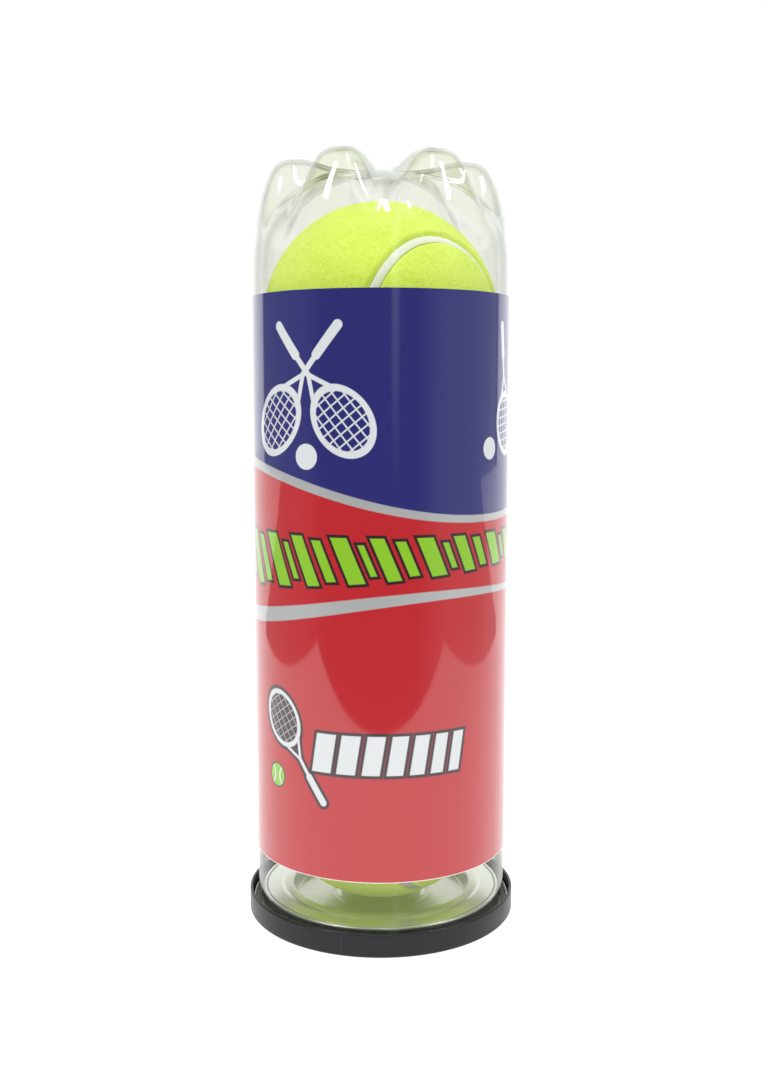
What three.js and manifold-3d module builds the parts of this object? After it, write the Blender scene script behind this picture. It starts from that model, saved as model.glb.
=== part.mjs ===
// Tennis ball can: a clear blow-moulded tube standing mouth down in its black overcap, with a printed
// wrap, an aluminium pull-off end seamed into the mouth, and three balls stacked inside.
// Millimetres, +Z up. The origin is the centre of the overcap's underside, which the can stands on.
import * as THREE from "three";
import { mergeVertices } from "three/addons/utils/BufferGeometryUtils.js";
import Module from "manifold-3d";

const wasm = await Module();
wasm.setup();

// ---- Driving dimensions ------------------------------------------------------------------------
const ROUND_STEPS = 48; // facets round a turned piece
const LOBES = 6; // feet of the moulded base
const LOBE_TURN = THREE.MathUtils.degToRad(5); // turns the base's feet round the can
const LOBE_STEPS = [0, 0.12, 0.26, 0.4, 0.56, 0.76]; // facet edges from a rib to the next foot

const CAP_RADIUS = 38.4;
const CAP_HEIGHT = 6.6;
const CAP_WALL = 0.8;
const CAP_BEAD = 0.25; // the snap bead's height off the wall
const CAP_FLOOR = 0.9; // height of the floor's upper face
const CAP_RECESS = 0.3; // how far the face inside the standing ring is let in
const CAP_STANDING_RING = 30;

const TUBE_RADIUS = 35.8;
const TUBE_WALL = 0.7;
const MOUTH_Z = 2.2;
const FLANGE_RADIUS = 36.55;
const FLANGE_THICK = 0.6;
const BASE_Z = 182; // where the straight wall ends and the base begins
const RIB_Z = 190.5; // level of the ellipse the ribs follow
const RIB_RADIUS = 35.4;
const RIB_RISE = 20;

const WRAP_LOW = 19.9;
const WRAP_HIGH = 176.2;
const WRAP_GAP = 0.08;
const WRAP_SHEET = 0.2;

const SHEET = 0.3; // aluminium, drawn a little thicker than it is rolled
const SEAM_LOW = 1.3;
const SEAM_HIGH = 4;
const SEAM_RADIUS = 37;
const CHUCK_RADIUS = 34.5;
const PANEL_Z = 3.45;
const PANEL_FLAT_RADIUS = 24.4;
const CREST_Z = 7;
const CREST_RADIUS = 25.8;
const LEDGE_Z = 6.5;
const LEDGE_RADIUS = 29;
const PANEL_RADIUS = 33.25;
const SCORE_GAP = 0.3;
const BEADS = [13]; // radii of the panel's stiffening beads
const BEAD_DROP = 0.35;

const TAB_LOW = 1.4;
const TAB_THICK = 1;
const TAB_HALF_WIDTH = 9.5;
const TAB_RING_Y = -10.5;
const TAB_NOSE_Y = -30.2;
const TAB_NOSE_HALF_WIDTH = 4.5;
const FINGER_RADIUS = 7;
const TONGUE_HALF_WIDTH = 3.4;
const TONGUE_LOW_Y = -26.7;
const TONGUE_HIGH_Y = -19.2;
const TONGUE_THICK = 0.35;
const TONGUE_SLOT = 0.5; // clear slot round the tongue
const RIVET_Y = -22.4;
const RIVET_SHANK = 1.4;
const RIVET_HEAD = 2.4;

const BALL_RADIUS = 33;
const BALL_GAP = 0.3;
const CORE_OUTER = 29.8;
const CORE_INNER = 26.2;
const FELT_INNER = 30.6;
const SEAM_BASE = 30.4;
const SEAM_TOP = 32.4; // the ball's rubber seam lies a little below the felt
const SEAM_HALF_WIDTH = 1.1;
const SEAM_CLEARANCE = 0.3;
const SEAM_STATIONS = 36;
const SEAM_SWING = 0.26; // share of the seam curve's third harmonic
const BALL_TURNS = {
  bottom_ball: [197, 198, 182],
  middle_ball: [70, -20, 40],
  top_ball: [195, 163.5, 258],
};

// ---- Colours -----------------------------------------------------------------------------------
const finish = (color, roughness, metalness, extra = {}) =>
  new THREE.MeshStandardMaterial({ color, roughness, metalness, ...extra });
const blackPlastic = finish(0x2b2c30, 0.45, 0);
const clearPet = finish(0xe4e8e2, 0.06, 0, { transparent: true, opacity: 0.25 });
const wrapPrint = finish(0x2f3182, 0.2, 0);
const aluminium = finish(0xc4c6c2, 0.25, 1);
const compound = finish(0x8a8f96, 0.8, 0);
const felt = finish(0xd4ee4a, 0.95, 0);
const seamRubber = finish(0xe2e4dc, 0.7, 0);
const coreRubber = finish(0x5c5a58, 0.85, 0);

// ---- Helpers -----------------------------------------------------------------------------------
/** A turned solid from [radius, z] pairs that start and end on the axis or close on themselves. */
function turned(profile, steps = ROUND_STEPS) {
  const points = profile.map(([r, z]) => new THREE.Vector2(r, z));
  return new THREE.LatheGeometry(points, steps).rotateX(Math.PI / 2);
}

/** The closed cross-section of a bent sheet: its middle line, thickened to both sides. */
function sheetSection(middle, thickness) {
  const points = middle.map(([r, z]) => new THREE.Vector2(r, z));
  const offsets = points.map((p, i) => {
    const before = points[Math.max(i - 1, 0)];
    const after = points[Math.min(i + 1, points.length - 1)];
    const into = p.clone().sub(before).normalize();
    const outOf = after.clone().sub(p).normalize();
    const along = into.add(outOf).normalize();
    const straight = i === 0 || i === points.length - 1 ? 1 : along.dot(outOf);
    return new THREE.Vector2(-along.y, along.x).multiplyScalar(thickness / 2 / straight);
  });
  const left = points.map((p, i) => p.clone().add(offsets[i]));
  const right = points.map((p, i) => p.clone().sub(offsets[i]));
  return [...right, ...left.reverse()].map((p) => [p.x, p.y]);
}

const closed = (profile) => [...profile, profile[0]];

/** A closed mesh as a manifold-3d solid. */
function solidOf(geometry) {
  const bare = geometry.clone();
  bare.deleteAttribute("normal");
  bare.deleteAttribute("uv");
  const merged = mergeVertices(bare, 1e-4);
  const vertProperties = merged.attributes.position.array;
  const triVerts = new Uint32Array(merged.index.array);
  return new wasm.Manifold(new wasm.Mesh({ numProp: 3, vertProperties, triVerts }));
}

/** A manifold-3d solid as a geometry. */
function geometryOf(solid) {
  const mesh = solid.getMesh();
  return new THREE.BufferGeometry()
    .setAttribute("position", new THREE.BufferAttribute(new Float32Array(mesh.vertProperties), 3))
    .setIndex(new THREE.BufferAttribute(new Uint32Array(mesh.triVerts), 1));
}

const root = new THREE.Group();

/** Adds a named mesh to a group and returns it. */
function add(name, geometry, material, parent = root) {
  const mesh = new THREE.Mesh(geometry, material);
  mesh.name = name;
  parent.add(mesh);
  return mesh;
}

// ---- Overcap -----------------------------------------------------------------------------------
function overcap() {
  const inner = CAP_RADIUS - CAP_WALL;
  return turned([
    [0, CAP_RECESS],
    [CAP_STANDING_RING, CAP_RECESS],
    [CAP_STANDING_RING + 0.5, 0],
    [CAP_RADIUS - 0.5, 0],
    [CAP_RADIUS, 0.5],
    [CAP_RADIUS, CAP_HEIGHT - 0.25],
    [CAP_RADIUS - 0.25, CAP_HEIGHT],
    [inner + 0.1, CAP_HEIGHT],
    [inner - CAP_BEAD, CAP_HEIGHT - 0.7],
    [inner, CAP_HEIGHT - 1.4],
    [inner, CAP_FLOOR],
    [0, CAP_FLOOR],
  ]);
}

// ---- Tube --------------------------------------------------------------------------------------
// The base's ribs follow an ellipse and run between six feet. Each key pairs a rib point, given by
// its angle up the ellipse, with the foot point that lies beside it.
const BASE_KEYS = [
  { rib: 12, foot: [34.6, 196.5] },
  { rib: 22, foot: [33.8, 200.5] },
  { rib: 31, foot: [32.6, 205] },
  { rib: 40, foot: [31, 209.4] },
  { rib: 47, foot: [29.2, 212.5] },
  { rib: 53, foot: [26.8, 214.3] },
  { rib: 58, foot: [24, 214.5] },
  { rib: 63, foot: [20.5, 213.4] },
  { rib: 69, foot: [16, 211.7] },
  { rib: 77, foot: [10, 210.7] },
  { rib: 90, foot: [0, 210.5] },
];
const SHOULDER = [
  [TUBE_RADIUS, BASE_Z],
  [35.65, 187],
  [35.2, 191.6],
];

/** How much of the foot, from 0 in a rib to 1 on a foot, there is at a share of the way between. */
function footShare(share) {
  return THREE.MathUtils.smoothstep(share, 0.04, 0.66);
}

/** The turns round the can of the facet edges, each with its share of the way from rib to foot. */
function facetEdges() {
  const half = Math.PI / LOBES;
  const edges = [];
  for (let lobe = 0; lobe < LOBES; lobe++) {
    const start = lobe * 2 * half;
    for (const share of LOBE_STEPS) edges.push({ angle: start + share * half, share });
    edges.push({ angle: start + half, share: 1 });
    for (const share of LOBE_STEPS.slice(1).reverse())
      edges.push({ angle: start + (2 - share) * half, share });
  }
  return edges;
}

/** Moves an outline's points inwards, square to the outline. */
function inset(outline, depth) {
  const points = outline.map(([r, z]) => new THREE.Vector2(r, z));
  return points.map((p, i) => {
    const before = i === 0 ? p : points[i - 1];
    const after = i === points.length - 1 ? p : points[i + 1];
    const along = after.clone().sub(before).normalize();
    const onAxis = p.x < 1e-6;
    if (onAxis) return [0, p.y - depth];
    return [p.x - along.y * depth, p.y + along.x * depth];
  });
}

/** A turned solid whose outline changes from the rib's to the foot's, six times round. */
function lobed(ribs, feet) {
  const edges = facetEdges();
  const geometry = new THREE.LatheGeometry(
    ribs.map((p) => new THREE.Vector2(...p)),
    edges.length,
  );
  const position = geometry.getAttribute("position");
  for (let i = 0; i <= edges.length; i++) {
    const { angle, share } = edges[i % edges.length];
    ribs.forEach((rib, j) => {
      const r = THREE.MathUtils.lerp(rib[0], feet[j][0], footShare(share));
      const z = THREE.MathUtils.lerp(rib[1], feet[j][1], footShare(share));
      position.setXYZ(i * ribs.length + j, r * Math.sin(angle), z, r * Math.cos(angle));
    });
  }
  return geometry.rotateX(Math.PI / 2).rotateZ(LOBE_TURN);
}

function tube() {
  const ribPoint = (degrees) => {
    const up = THREE.MathUtils.degToRad(degrees);
    return degrees === 90
      ? [0, RIB_Z + RIB_RISE]
      : [RIB_RADIUS * Math.cos(up), RIB_Z + RIB_RISE * Math.sin(up)];
  };
  const mouth = [
    [FLANGE_RADIUS, MOUTH_Z],
    [FLANGE_RADIUS, MOUTH_Z + FLANGE_THICK],
    [TUBE_RADIUS, MOUTH_Z + 2 * FLANGE_THICK],
  ];
  const bore = TUBE_RADIUS - TUBE_WALL;
  const ribs = [...SHOULDER, ...BASE_KEYS.map((key) => ribPoint(key.rib))];
  const feet = [...SHOULDER, ...BASE_KEYS.map((key) => key.foot)];
  const around = (outline) => [
    ...inset([[TUBE_RADIUS, BASE_Z - 10], ...outline], TUBE_WALL).slice(1).reverse(),
    [bore, MOUTH_Z],
    ...mouth,
    ...outline,
  ];
  return lobed(around(ribs), around(feet));
}

function wrap() {
  const inner = TUBE_RADIUS + WRAP_GAP;
  const outer = inner + WRAP_SHEET;
  const outline = closed([
    [inner, WRAP_LOW],
    [outer, WRAP_LOW],
    [outer, WRAP_HIGH],
    [inner, WRAP_HIGH],
  ]);
  return lobed(outline, outline);
}

// ---- Aluminium end -----------------------------------------------------------------------------
function endRing() {
  const lip = PANEL_RADIUS + SCORE_GAP;
  const middle = [
    [lip, LEDGE_Z],
    [CHUCK_RADIUS - 0.3, LEDGE_Z],
    [CHUCK_RADIUS - 0.1, LEDGE_Z - 0.4],
    [CHUCK_RADIUS, SEAM_LOW],
    [SEAM_RADIUS, SEAM_LOW],
    [SEAM_RADIUS, SEAM_HIGH],
  ];
  return turned(closed(sheetSection(middle, SHEET)));
}

function seamCompound() {
  const low = SEAM_LOW + SHEET / 2 + 0.15;
  const high = MOUTH_Z - 0.15;
  const bore = TUBE_RADIUS - TUBE_WALL + 0.1;
  return turned(
    closed([
      [bore, low],
      [FLANGE_RADIUS - 0.1, low],
      [FLANGE_RADIUS - 0.1, high],
      [bore, high],
    ]),
  );
}

function tearPanel() {
  const bead = (radius) => [
    [radius - 1.1, PANEL_Z],
    [radius - 0.4, PANEL_Z - BEAD_DROP],
    [radius + 0.4, PANEL_Z - BEAD_DROP],
    [radius + 1.1, PANEL_Z],
  ];
  return turned(
    sheetSection(
      [
        [0, PANEL_Z],
        ...BEADS.flatMap(bead),
        [PANEL_FLAT_RADIUS, PANEL_Z],
        [CREST_RADIUS, CREST_Z],
        [LEDGE_RADIUS - 0.6, CREST_Z],
        [LEDGE_RADIUS, LEDGE_Z],
        [PANEL_RADIUS, LEDGE_Z],
      ],
      SHEET,
    ),
  );
}

function tabRivet() {
  const top = PANEL_Z - SHEET / 2 - 0.05;
  const seat = TAB_LOW + 0.35;
  const head = seat - 0.55;
  return turned(
    [
      [0, head],
      [RIVET_HEAD - 0.4, head],
      [RIVET_HEAD, head + 0.3],
      [RIVET_HEAD, seat - 0.1],
      [RIVET_SHANK, seat - 0.1],
      [RIVET_SHANK, top],
      [0, top],
    ],
    16,
  ).translate(0, RIVET_Y, 0);
}

/** Draws a rectangle with round corners, as a shape or a hole. */
function roundedRectangle(path, halfWidth, low, high, radius) {
  path.moveTo(-halfWidth + radius, low);
  path.lineTo(halfWidth - radius, low);
  path.absarc(halfWidth - radius, low + radius, radius, -Math.PI / 2, 0);
  path.absarc(halfWidth - radius, high - radius, radius, 0, Math.PI / 2);
  path.absarc(-halfWidth + radius, high - radius, radius, Math.PI / 2, Math.PI);
  path.absarc(-halfWidth + radius, low + radius, radius, Math.PI, 1.5 * Math.PI);
  return path;
}

const plate = (shape, thickness, low) =>
  new THREE.ExtrudeGeometry(shape, {
    depth: thickness,
    bevelEnabled: false,
    curveSegments: 6,
  }).translate(0, 0, low);

function tabTongue() {
  const shape = new THREE.Shape();
  roundedRectangle(shape, TONGUE_HALF_WIDTH, TONGUE_LOW_Y, TONGUE_HIGH_Y, 1);
  shape.holes.push(new THREE.Path().absarc(0, RIVET_Y, RIVET_SHANK + 0.2, 0, 2 * Math.PI, true));
  return plate(shape, TONGUE_THICK, TAB_LOW + 0.4);
}

function pullTab() {
  const slot = new THREE.Path();
  roundedRectangle(
    slot,
    TONGUE_HALF_WIDTH + TONGUE_SLOT,
    TONGUE_LOW_Y - TONGUE_SLOT,
    TONGUE_HIGH_Y + TONGUE_SLOT,
    1,
  );
  const finger = new THREE.Path().absarc(0, TAB_RING_Y, FINGER_RADIUS, 0, 2 * Math.PI, true);
  const shape = new THREE.Shape();
  shape.moveTo(-TAB_NOSE_HALF_WIDTH, TAB_NOSE_Y);
  shape.lineTo(TAB_NOSE_HALF_WIDTH, TAB_NOSE_Y);
  shape.quadraticCurveTo(TAB_HALF_WIDTH, TAB_NOSE_Y + 1, TAB_HALF_WIDTH, TAB_NOSE_Y + 8);
  shape.absarc(0, TAB_RING_Y, TAB_HALF_WIDTH, 0, Math.PI);
  shape.lineTo(-TAB_HALF_WIDTH, TAB_NOSE_Y + 8);
  shape.quadraticCurveTo(-TAB_HALF_WIDTH, TAB_NOSE_Y + 1, -TAB_NOSE_HALF_WIDTH, TAB_NOSE_Y);
  shape.holes.push(finger, slot);
  return plate(shape, TAB_THICK, TAB_LOW);
}

// ---- Balls -------------------------------------------------------------------------------------
/** A point of the seam curve on the unit sphere, which closes after one turn. */
function seamPoint(t) {
  const a = 1 - SEAM_SWING;
  const b = SEAM_SWING;
  return new THREE.Vector3(
    a * Math.cos(t) + b * Math.cos(3 * t),
    a * Math.sin(t) - b * Math.sin(3 * t),
    2 * Math.sqrt(a * b) * Math.sin(2 * t),
  );
}

/** A closed band of rectangular section that follows the seam curve between two radii. */
function seamBand(low, high, halfWidth) {
  const position = [];
  const index = [];
  for (let i = 0; i < SEAM_STATIONS; i++) {
    const t = (2 * Math.PI * i) / SEAM_STATIONS;
    const out = seamPoint(t).normalize();
    const along = seamPoint(t + 1e-3).sub(seamPoint(t - 1e-3)).normalize();
    const side = new THREE.Vector3().crossVectors(out, along).normalize();
    for (const [radius, width] of [
      [low, -halfWidth],
      [low, halfWidth],
      [high, halfWidth],
      [high, -halfWidth],
    ])
      position.push(...out.clone().multiplyScalar(radius).addScaledVector(side, width).toArray());
    const next = (i + 1) % SEAM_STATIONS;
    for (let k = 0; k < 4; k++) {
      const [a, b] = [i * 4 + k, i * 4 + ((k + 1) % 4)];
      const [c, d] = [next * 4 + ((k + 1) % 4), next * 4 + k];
      index.push(a, c, d, a, b, c);
    }
  }
  return new THREE.BufferGeometry()
    .setAttribute("position", new THREE.Float32BufferAttribute(position, 3))
    .setIndex(index);
}

/** A half shell of the rubber core, on the +Z side of its joint. */
function coreHalf() {
  const arc = (radius, low, steps) =>
    Array.from({ length: steps + 1 }, (_, i) => {
      const start = Math.asin(low / radius);
      const up = start + ((Math.PI / 2 - start) * i) / steps;
      return [i === steps ? 0 : radius * Math.cos(up), radius * Math.sin(up)];
    });
  const joint = 0.15;
  return turned([...arc(CORE_INNER, joint, 3).reverse(), ...arc(CORE_OUTER, joint, 3)], 12);
}

function ball(name, centre, turns) {
  const group = new THREE.Group();
  group.position.set(0, 0, centre);
  group.rotation.set(...turns.map(THREE.MathUtils.degToRad));
  root.add(group);
  const skin = solidOf(new THREE.IcosahedronGeometry(BALL_RADIUS, 4)).subtract(
    solidOf(new THREE.IcosahedronGeometry(FELT_INNER, 2)),
  );
  const way = seamBand(CORE_OUTER - 2, BALL_RADIUS + 2, SEAM_HALF_WIDTH + SEAM_CLEARANCE);
  skin
    .subtract(solidOf(way))
    .decompose()
    .forEach((panel, i) => add(`${name}_felt_${"ab"[i]}`, geometryOf(panel), felt, group));
  const seam = seamBand(SEAM_BASE, SEAM_TOP, SEAM_HALF_WIDTH);
  add(`${name}_seam`, seam, seamRubber, group);
  add(`${name}_core_half_a`, coreHalf(), coreRubber, group);
  add(`${name}_core_half_b`, coreHalf().rotateX(Math.PI), coreRubber, group);
}

// ---- Assembly ----------------------------------------------------------------------------------
add("overcap", overcap(), blackPlastic);
add("tube", tube(), clearPet);
add("wrap", wrap(), wrapPrint);
add("end_ring", endRing(), aluminium);
add("seam_compound", seamCompound(), compound);
add("tear_panel", tearPanel(), aluminium);
add("tab_rivet", tabRivet(), aluminium);
add("tab_tongue", tabTongue(), aluminium);
add("pull_tab", pullTab(), aluminium);

const FLOOR_OF_BALLS = PANEL_Z + SHEET / 2 + BALL_GAP;
Object.entries(BALL_TURNS).forEach(([name, turns], i) =>
  ball(name, FLOOR_OF_BALLS + BALL_RADIUS + i * (2 * BALL_RADIUS + BALL_GAP), turns),
);

export default root;
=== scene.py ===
"""A tennis ball can, standing mouth down in its overcap, dressed for a studio picture."""

import logging
import math
from collections.abc import Callable, Iterable, Sequence
from dataclasses import dataclass, field
from enum import Enum
from typing import ClassVar

import bpy
import numpy as np
from mathutils import Matrix, Vector


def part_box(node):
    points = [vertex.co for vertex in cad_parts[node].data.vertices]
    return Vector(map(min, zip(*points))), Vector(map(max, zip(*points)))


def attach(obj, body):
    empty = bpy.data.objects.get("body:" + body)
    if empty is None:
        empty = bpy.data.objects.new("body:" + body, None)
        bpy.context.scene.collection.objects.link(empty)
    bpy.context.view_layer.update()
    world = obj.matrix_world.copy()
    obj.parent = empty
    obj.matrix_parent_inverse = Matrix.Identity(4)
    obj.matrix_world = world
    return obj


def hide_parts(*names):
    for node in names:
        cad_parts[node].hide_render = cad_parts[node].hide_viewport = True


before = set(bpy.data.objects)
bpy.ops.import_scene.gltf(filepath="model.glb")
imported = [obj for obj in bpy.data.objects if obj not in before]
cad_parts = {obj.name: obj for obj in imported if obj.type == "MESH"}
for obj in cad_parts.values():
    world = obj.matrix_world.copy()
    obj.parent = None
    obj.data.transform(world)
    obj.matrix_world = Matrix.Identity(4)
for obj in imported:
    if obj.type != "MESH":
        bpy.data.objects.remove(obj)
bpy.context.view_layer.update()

log = logging.getLogger("tennis_ball_can")

MM = 0.001
Outline = list[tuple[float, float]]
Colour = tuple[float, float, float, float]


# ---- Shader maths ------------------------------------------------------------------------------
class Value:
    """A number in a shader, which takes part in Python arithmetic."""

    def __init__(self, shader: "Shader", socket: bpy.types.NodeSocket) -> None:
        """Wraps a socket.

        Args:
            shader: The shader whose node tree the socket is in.
            socket: An output socket that carries a number.
        """
        self.shader = shader
        self.socket = socket

    def _do(self, operation: str, *others: "Value | float") -> "Value":
        """Adds a Math node on this value and others."""
        return self.shader.math(operation, self, *others)

    def __add__(self, other: "Value | float") -> "Value":
        """Adds."""
        return self._do("ADD", other)

    __radd__ = __add__

    def __sub__(self, other: "Value | float") -> "Value":
        """Subtracts another from this."""
        return self._do("SUBTRACT", other)

    def __rsub__(self, other: "Value | float") -> "Value":
        """Subtracts this from another."""
        return self.shader.math("SUBTRACT", other, self)

    def __mul__(self, other: "Value | float") -> "Value":
        """Multiplies."""
        return self._do("MULTIPLY", other)

    __rmul__ = __mul__

    def __truediv__(self, other: "Value | float") -> "Value":
        """Divides this by another."""
        return self._do("DIVIDE", other)

    def __rtruediv__(self, other: "Value | float") -> "Value":
        """Divides another by this."""
        return self.shader.math("DIVIDE", other, self)

    def __pow__(self, other: "Value | float") -> "Value":
        """Raises this to a power."""
        return self._do("POWER", other)

    def __neg__(self) -> "Value":
        """Changes the sign."""
        return self * -1.0

    def __abs__(self) -> "Value":
        """Drops the sign."""
        return self._do("ABSOLUTE")

    def lower(self, other: "Value | float") -> "Value":
        """The lower of two."""
        return self._do("MINIMUM", other)

    def higher(self, other: "Value | float") -> "Value":
        """The higher of two."""
        return self._do("MAXIMUM", other)

    def clamped(self) -> "Value":
        """This, kept between 0 and 1."""
        return self.higher(0.0).lower(1.0)

    def root(self) -> "Value":
        """The square root."""
        return self._do("SQRT")

    def sine(self) -> "Value":
        """The sine of an angle in radians."""
        return self._do("SINE")

    def cosine(self) -> "Value":
        """The cosine of an angle in radians."""
        return self._do("COSINE")

    def repeated(self, period: float) -> "Value":
        """This, brought to within half a period either side of 0."""
        return self._do("WRAP", period / 2, -period / 2)

    def inside(self, softness: float = 0.12) -> "Value":
        """1 where a distance is below 0, and 0 where it is above, with a soft edge."""
        return (0.5 - self / softness).clamped()

    def ramp(self, start: float, end: float) -> "Value":
        """0 at start and 1 at end, smoothly."""
        share = ((self - start) / (end - start)).clamped()
        return share * share * (3.0 - 2.0 * share)


class Shader:
    """A node tree under construction."""

    def __init__(self, tree: bpy.types.NodeTree) -> None:
        """Empties a tree and takes it over.

        Args:
            tree: The node tree of a material or a world.
        """
        self.tree = tree
        tree.nodes.clear()

    def node(
        self,
        kind: str,
        settings: dict[str, object] | None = None,
        inputs: dict[str | int, object] | None = None,
    ) -> bpy.types.Node:
        """Adds a node.

        Args:
            kind: The node's type without its ShaderNode prefix.
            settings: Attributes to set before its sockets; "stops" fills a ramp.
            inputs: A value, a Value or a socket for each socket by name or number.

        Returns:
            The node.
        """
        made = self.tree.nodes.new("ShaderNode" + kind)
        for name, setting in (settings or {}).items():
            if name == "stops":
                ramp = made.color_ramp.elements
                while len(ramp) < len(setting):
                    ramp.new(0.5)
                for stop, (at, colour) in zip(ramp, setting, strict=True):
                    stop.position, stop.color = at, colour
            else:
                setattr(made, name, setting)
        for name, given in (inputs or {}).items():
            socket = made.inputs[name]
            if isinstance(given, Value):
                self.tree.links.new(given.socket, socket)
            elif isinstance(given, bpy.types.NodeSocket):
                self.tree.links.new(given, socket)
            else:
                socket.default_value = given
        return made

    def math(self, operation: str, *values: Value | float) -> Value:
        """A Math node's result."""
        made = self.node("Math", {"operation": operation}, dict(enumerate(values)))
        return Value(self, made.outputs[0])

    def place(self) -> bpy.types.NodeSocket:
        """The point's place on the object."""
        return self.node("TexCoord").outputs["Object"]

    def split(self, vector: bpy.types.NodeSocket) -> tuple[Value, Value, Value]:
        """The three numbers of a vector."""
        made = self.node("SeparateXYZ", inputs={0: vector})
        return tuple(Value(self, out) for out in made.outputs)

    def noise(
        self, scale: float, detail: float = 3.0, stretch: Sequence[float] = (1, 1, 1)
    ) -> Value:
        """Noise between 0 and 1.

        Args:
            scale: Bumps to the metre.
            detail: Octaves.
            stretch: Factors on the scale along each axis.

        Returns:
            The noise.
        """
        mapped = self.node(
            "Mapping", inputs={"Vector": self.place(), "Scale": tuple(stretch)}
        )
        made = self.node(
            "TexNoise",
            inputs={"Vector": mapped.outputs[0], "Scale": scale, "Detail": detail},
        )
        return Value(self, made.outputs[0])

    def mix(
        self, share: Value | float, first: object, second: object
    ) -> bpy.types.NodeSocket:
        """Two colours mixed: the first at share 0, the second at share 1."""
        made = self.node(
            "Mix",
            {"data_type": "RGBA"},
            {"Factor": share, 6: first, 7: second},
        )
        return made.outputs[2]

    def bump(self, height: Value, depth: float, strength: float = 1.0) -> bpy.types.NodeSocket:
        """A normal bent by a height.

        Args:
            height: The height, between 0 and 1.
            depth: What a height of 1 stands for, in metres.
            strength: The share of the bend that shows.

        Returns:
            The normal.
        """
        made = self.node(
            "Bump", inputs={"Height": height, "Distance": depth, "Strength": strength}
        )
        return made.outputs[0]

    def surface(self, **inputs: object) -> bpy.types.NodeSocket:
        """A Principled shader; underscores in a socket's name stand for spaces."""
        named = {name.replace("_", " "): given for name, given in inputs.items()}
        return self.node("BsdfPrincipled", inputs=named).outputs[0]

    def blend(
        self, share: Value | float, first: bpy.types.NodeSocket, second: bpy.types.NodeSocket
    ) -> bpy.types.NodeSocket:
        """Two shaders mixed: the first at share 0, the second at share 1."""
        return self.node("MixShader", inputs={0: share, 1: first, 2: second}).outputs[0]

    def finish(self, shader: bpy.types.NodeSocket) -> None:
        """Sends a shader to the tree's output."""
        self.node("OutputMaterial", inputs={"Surface": shader})


def rgb(red: float, green: float, blue: float) -> Colour:
    """A linear colour with no transparency."""
    return (red, green, blue, 1.0)


class Finish:
    """A material that is made the first time a piece wears it."""

    name = "finish"
    made: ClassVar[dict[str, bpy.types.Material]] = {}

    def paint(self, shader: Shader) -> bpy.types.NodeSocket:
        """Builds the finish's nodes and returns its shader."""
        raise NotImplementedError

    def material(self) -> bpy.types.Material:
        """The finish's material."""
        if self.name not in self.made:
            material = bpy.data.materials.new(self.name)
            material.use_nodes = True
            shader = Shader(material.node_tree)
            shader.finish(self.paint(shader))
            self.made[self.name] = material
        return self.made[self.name]


@dataclass(frozen=True)
class MouldedBlack(Finish):
    """Black moulded plastic with a fine grain and the scuffs of handling."""

    name: str = "moulded_black"
    colour: Colour = rgb(0.011, 0.011, 0.013)
    worn: Colour = rgb(0.035, 0.035, 0.038)
    nick_turn: float = math.radians(-16)
    nick_radius: float = 38.4

    def paint(self, shader: Shader) -> bpy.types.NodeSocket:
        """Grain, scuffs and the nick where the mould's halves met."""
        x, y, z = shader.split(shader.place())
        scuffs = shader.noise(260, 5).ramp(0.58, 0.8)
        grain = shader.noise(5200, 2)
        turn = shader.math("ARCTAN2", x, -y)
        across = abs(turn - self.nick_turn) * self.nick_radius
        nick = (across - 0.22).inside(0.2) * (z - 0.0007).ramp(0, 0.0006)
        height = grain * 0.25 + scuffs * 0.25 - nick
        return shader.surface(
            Base_Color=shader.mix(scuffs * 0.45 + nick * 0.3, self.colour, self.worn),
            Roughness=0.3 + scuffs * 0.16 + grain * 0.06,
            Specular_IOR_Level=0.3,
            Normal=shader.bump(height, 0.00008, 0.6),
        )


@dataclass(frozen=True)
class ClearPlastic(Finish):
    """Clear blown plastic, thin and glossy, with the faint waves of blowing."""

    name: str = "clear_plastic"
    through: Colour = rgb(0.965, 0.97, 0.95)
    # Painted shade: the grey see-through tint that stands in for the darker refracted edges at a slant.
    edge: Colour = rgb(0.64, 0.66, 0.62)

    def paint(self, shader: Shader) -> bpy.types.NodeSocket:
        """See-through face on, glossier at a slant, and greyer at a slant as painted shade for the tube's
        darker refracted edges.
        """
        waves = shader.noise(60, 1, (1, 1, 0.3)) * 0.8 + shader.noise(240, 2) * 0.2
        normal = shader.bump(waves, 0.0005, 0.4)
        facing = shader.node("LayerWeight", inputs={"Blend": 0.5})
        slant = Value(shader, facing.outputs["Facing"])
        shine = (slant**5 * 0.96 + 0.04).lower(0.6)
        clear = shader.node("BsdfTransparent", inputs={"Color": self.through}).outputs[0]
        # Painted shade: at a slant the plastic turns grey, standing in for the darker refraction at its
        # edges.
        grey = shader.node("BsdfTransparent", inputs={"Color": self.edge}).outputs[0]
        gloss = shader.node(
            "BsdfGlossy", inputs={"Roughness": 0.05, "Color": rgb(1, 1, 1), "Normal": normal}
        ).outputs[0]
        return shader.blend(shine, shader.blend(slant.ramp(0.45, 1.0), clear, grey), gloss)


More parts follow.
